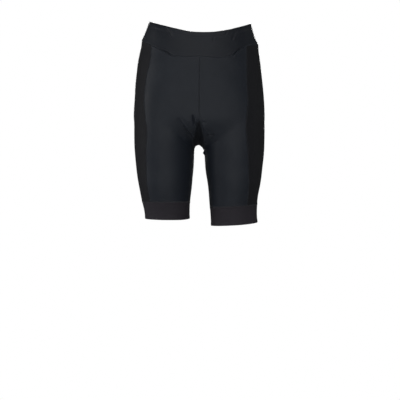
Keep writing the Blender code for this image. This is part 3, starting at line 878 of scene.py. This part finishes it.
def flatlock(path):
    """Both needle rows and the looper thread of one seam."""
    return [stitch_row(path, -NEEDLE_OFF), stitch_row(path, NEEDLE_OFF), looper_row(path)]


def line_at(grid, distance, from_end=False):
    """The line in a grid at a distance from its first row, or from its last, measured down each column."""
    rows = grid[::-1] if from_end else grid
    run = along(rows, 0)
    after = (run < distance).sum(axis=0)[None]
    near, far = (np.take_along_axis(run, index, axis=0)[0] for index in (after - 1, after))
    share = ((distance - near) / (far - near))[:, None]
    index = after[..., None]
    return np.take_along_axis(rows, index - 1, axis=0)[0] * (1 - share) + np.take_along_axis(rows, index, 0)[0] * share


# Painted light: both thread colours are lighter than the cloth they hold, to cancel the shade in the seam dips and on
# the round thread sides, so the seams do not read as dark lines.
THREAD_WITH_PAINTED_LIGHT = thread_finish("thread", (0.0400, 0.0445, 0.0540))
BAND_THREAD_WITH_PAINTED_LIGHT = thread_finish("band_thread", (0.060, 0.061, 0.068))
rise_front, rise_back = FRONT_LEVELS <= GUSSET_TIP, PANEL_LEVELS <= GUSSET_TIP
inseam_rows = FRONT_LEVELS >= CROTCH
for side in SIDE_SIGN:
    front, back = sheets[f"front_panel_{side}"], sheets[f"back_panel_{side}"]
    sew(f"side_seam_thread_{side}", flatlock(front[:, -1]) + flatlock(back[:, 0]), THREAD_WITH_PAINTED_LIGHT)
    gusset_seams = flatlock(front[front_rows, 0]) + flatlock(back[back_rows, -1])
    sew(f"inseam_thread_{side}", gusset_seams + flatlock(front[inseam_rows, 0]), THREAD_WITH_PAINTED_LIGHT)
    ring = sheets[f"leg_band_{side}"]
    ring = np.concatenate([ring, ring[:, :1]], axis=1)
    hem = stitch_row(line_at(ring, HEM_FOLD_HEIGHT, from_end=True), 0.0)
    sew(f"leg_band_thread_{side}", flatlock(ring[0]), BAND_THREAD_WITH_PAINTED_LIGHT)
    sew(f"hem_thread_{side}", [hem], THREAD_WITH_PAINTED_LIGHT)
rises = flatlock(sheets["front_panel_right"][rise_front, 0]) + flatlock(sheets["back_panel_right"][rise_back, -1])
sew("rise_thread", rises, THREAD_WITH_PAINTED_LIGHT)
band_rows = []
for name in ("waistband_front", "waistband_back"):
    band_rows += flatlock(sheets[name][-1])
    band_rows.append(stitch_row(line_at(sheets[name], ELASTIC_HEIGHT + STITCH_LENGTH), 0.0))
for edge in (0, -1):
    band_rows += flatlock(sheets["waistband_front"][:, edge])
sew("waistband_thread", band_rows, THREAD_WITH_PAINTED_LIGHT)


# Studio: a white surround, a plain pale floor well below the hems, broad soft lights in front, above and
# behind, and tall softboxes on both sides, stronger on the right-hand side of the shorts.

CAMERA_AWAY = 3.0
CAMERA_Z = -0.4526
HALF_VIEW = 0.510
camera = bpy.data.objects.new("camera", bpy.data.cameras.new("camera"))
camera.data.sensor_width = 36.0
camera.data.lens = 36.0 / 2 * CAMERA_AWAY / HALF_VIEW
camera.location = (0, -CAMERA_AWAY, CAMERA_Z)
camera.rotation_euler = (math.pi / 2, 0, 0)
bpy.context.scene.collection.objects.link(camera)
bpy.context.scene.camera = camera

FLOOR_Z = -1.25
FLOOR_RADIUS = 1.6
turn = steps(0, 2 * math.pi, 96)
rim = np.stack([FLOOR_RADIUS * np.cos(turn), FLOOR_RADIUS * np.sin(turn), np.full_like(turn, FLOOR_Z)], -1)
floor_mesh = bpy.data.meshes.new("floor")
floor_mesh.from_pydata(rim.tolist(), [], [list(range(len(rim)))])
floor = bpy.data.objects.new("floor", floor_mesh)
bpy.context.scene.collection.objects.link(floor)
floor_paint, _, floor_shader, _ = nodes_of("floor")
floor_shader.inputs["Base Color"].default_value = (0.70, 0.70, 0.70, 1)
floor_shader.inputs["Roughness"].default_value = 0.8
floor_mesh.materials.append(floor_paint)

SURROUND_GLOW = 0.06
world = bpy.data.worlds.new("surround")
bpy.context.scene.world = world
world.use_nodes = True
tree = world.node_tree
seen = tree.nodes.new("ShaderNodeLightPath")
glow = tree.nodes.new("ShaderNodeMapRange")
tree.links.new(seen.outputs["Is Camera Ray"], glow.inputs["Value"])
glow.inputs["To Min"].default_value = SURROUND_GLOW
glow.inputs["To Max"].default_value = 1.0
tree.nodes["Background"].inputs["Color"].default_value = (1, 1, 1, 1)
tree.links.new(glow.outputs["Result"], tree.nodes["Background"].inputs["Strength"])

LIGHT_COLUMNS = ("name", "place", "aim", "size", "power", "spread")
LIGHTS = (
    ("front", (0, -3.2, 0), (0, 0, -0.25), (2.4, 1.8), 10.5, 180),
    ("front_top", (0, -2.4, 1.8), (0, 0, -0.25), (2.4, 1.2), 24.0, 180),
    ("front_low", (0, -3.0, -0.85), (0, 0, -0.35), (2.0, 0.6), 8.0, 180),
    ("front_right", (-1.7, -2.7, 0), (0, 0, -0.3), (1.0, 1.6), 8.5, 180),
    ("front_left", (1.7, -2.7, 0), (0, 0, -0.3), (1.0, 1.6), 7.4, 180),
    ("side_right", (-2.5, -0.8, 0), (0, 0, -0.3), (0.6, 1.8), 8.5, 180),
    ("edge_right", (-2.6, 0.2, 0), (0, 0, -0.3), (0.6, 1.8), 10.5, 180),
    ("edge_left", (2.6, 0.2, 0), (0, 0, -0.3), (0.6, 1.8), 5.5, 180),
    ("back", (0, 2.6, 0.35), (0, 0, -0.25), (1.8, 1.2), 8.0, 34),
)
for name, spot, aim, size, power, spread in LIGHTS:
    lamp = bpy.data.lights.new(name, "AREA")
    lamp.shape = "RECTANGLE"
    lamp.size, lamp.size_y = size
    lamp.energy = power
    lamp.spread = math.radians(spread)
    light = bpy.data.objects.new(name, lamp)
    bpy.context.scene.collection.objects.link(light)
    light.location = spot
    way = np.array(aim) - np.array(spot)
    light.rotation_euler = (math.atan2(math.hypot(way[0], way[1]), -way[2]), 0, math.atan2(-way[0], way[1]))

bpy.context.scene.view_settings.view_transform = "Standard"
bpy.context.scene.view_settings.look = "None"
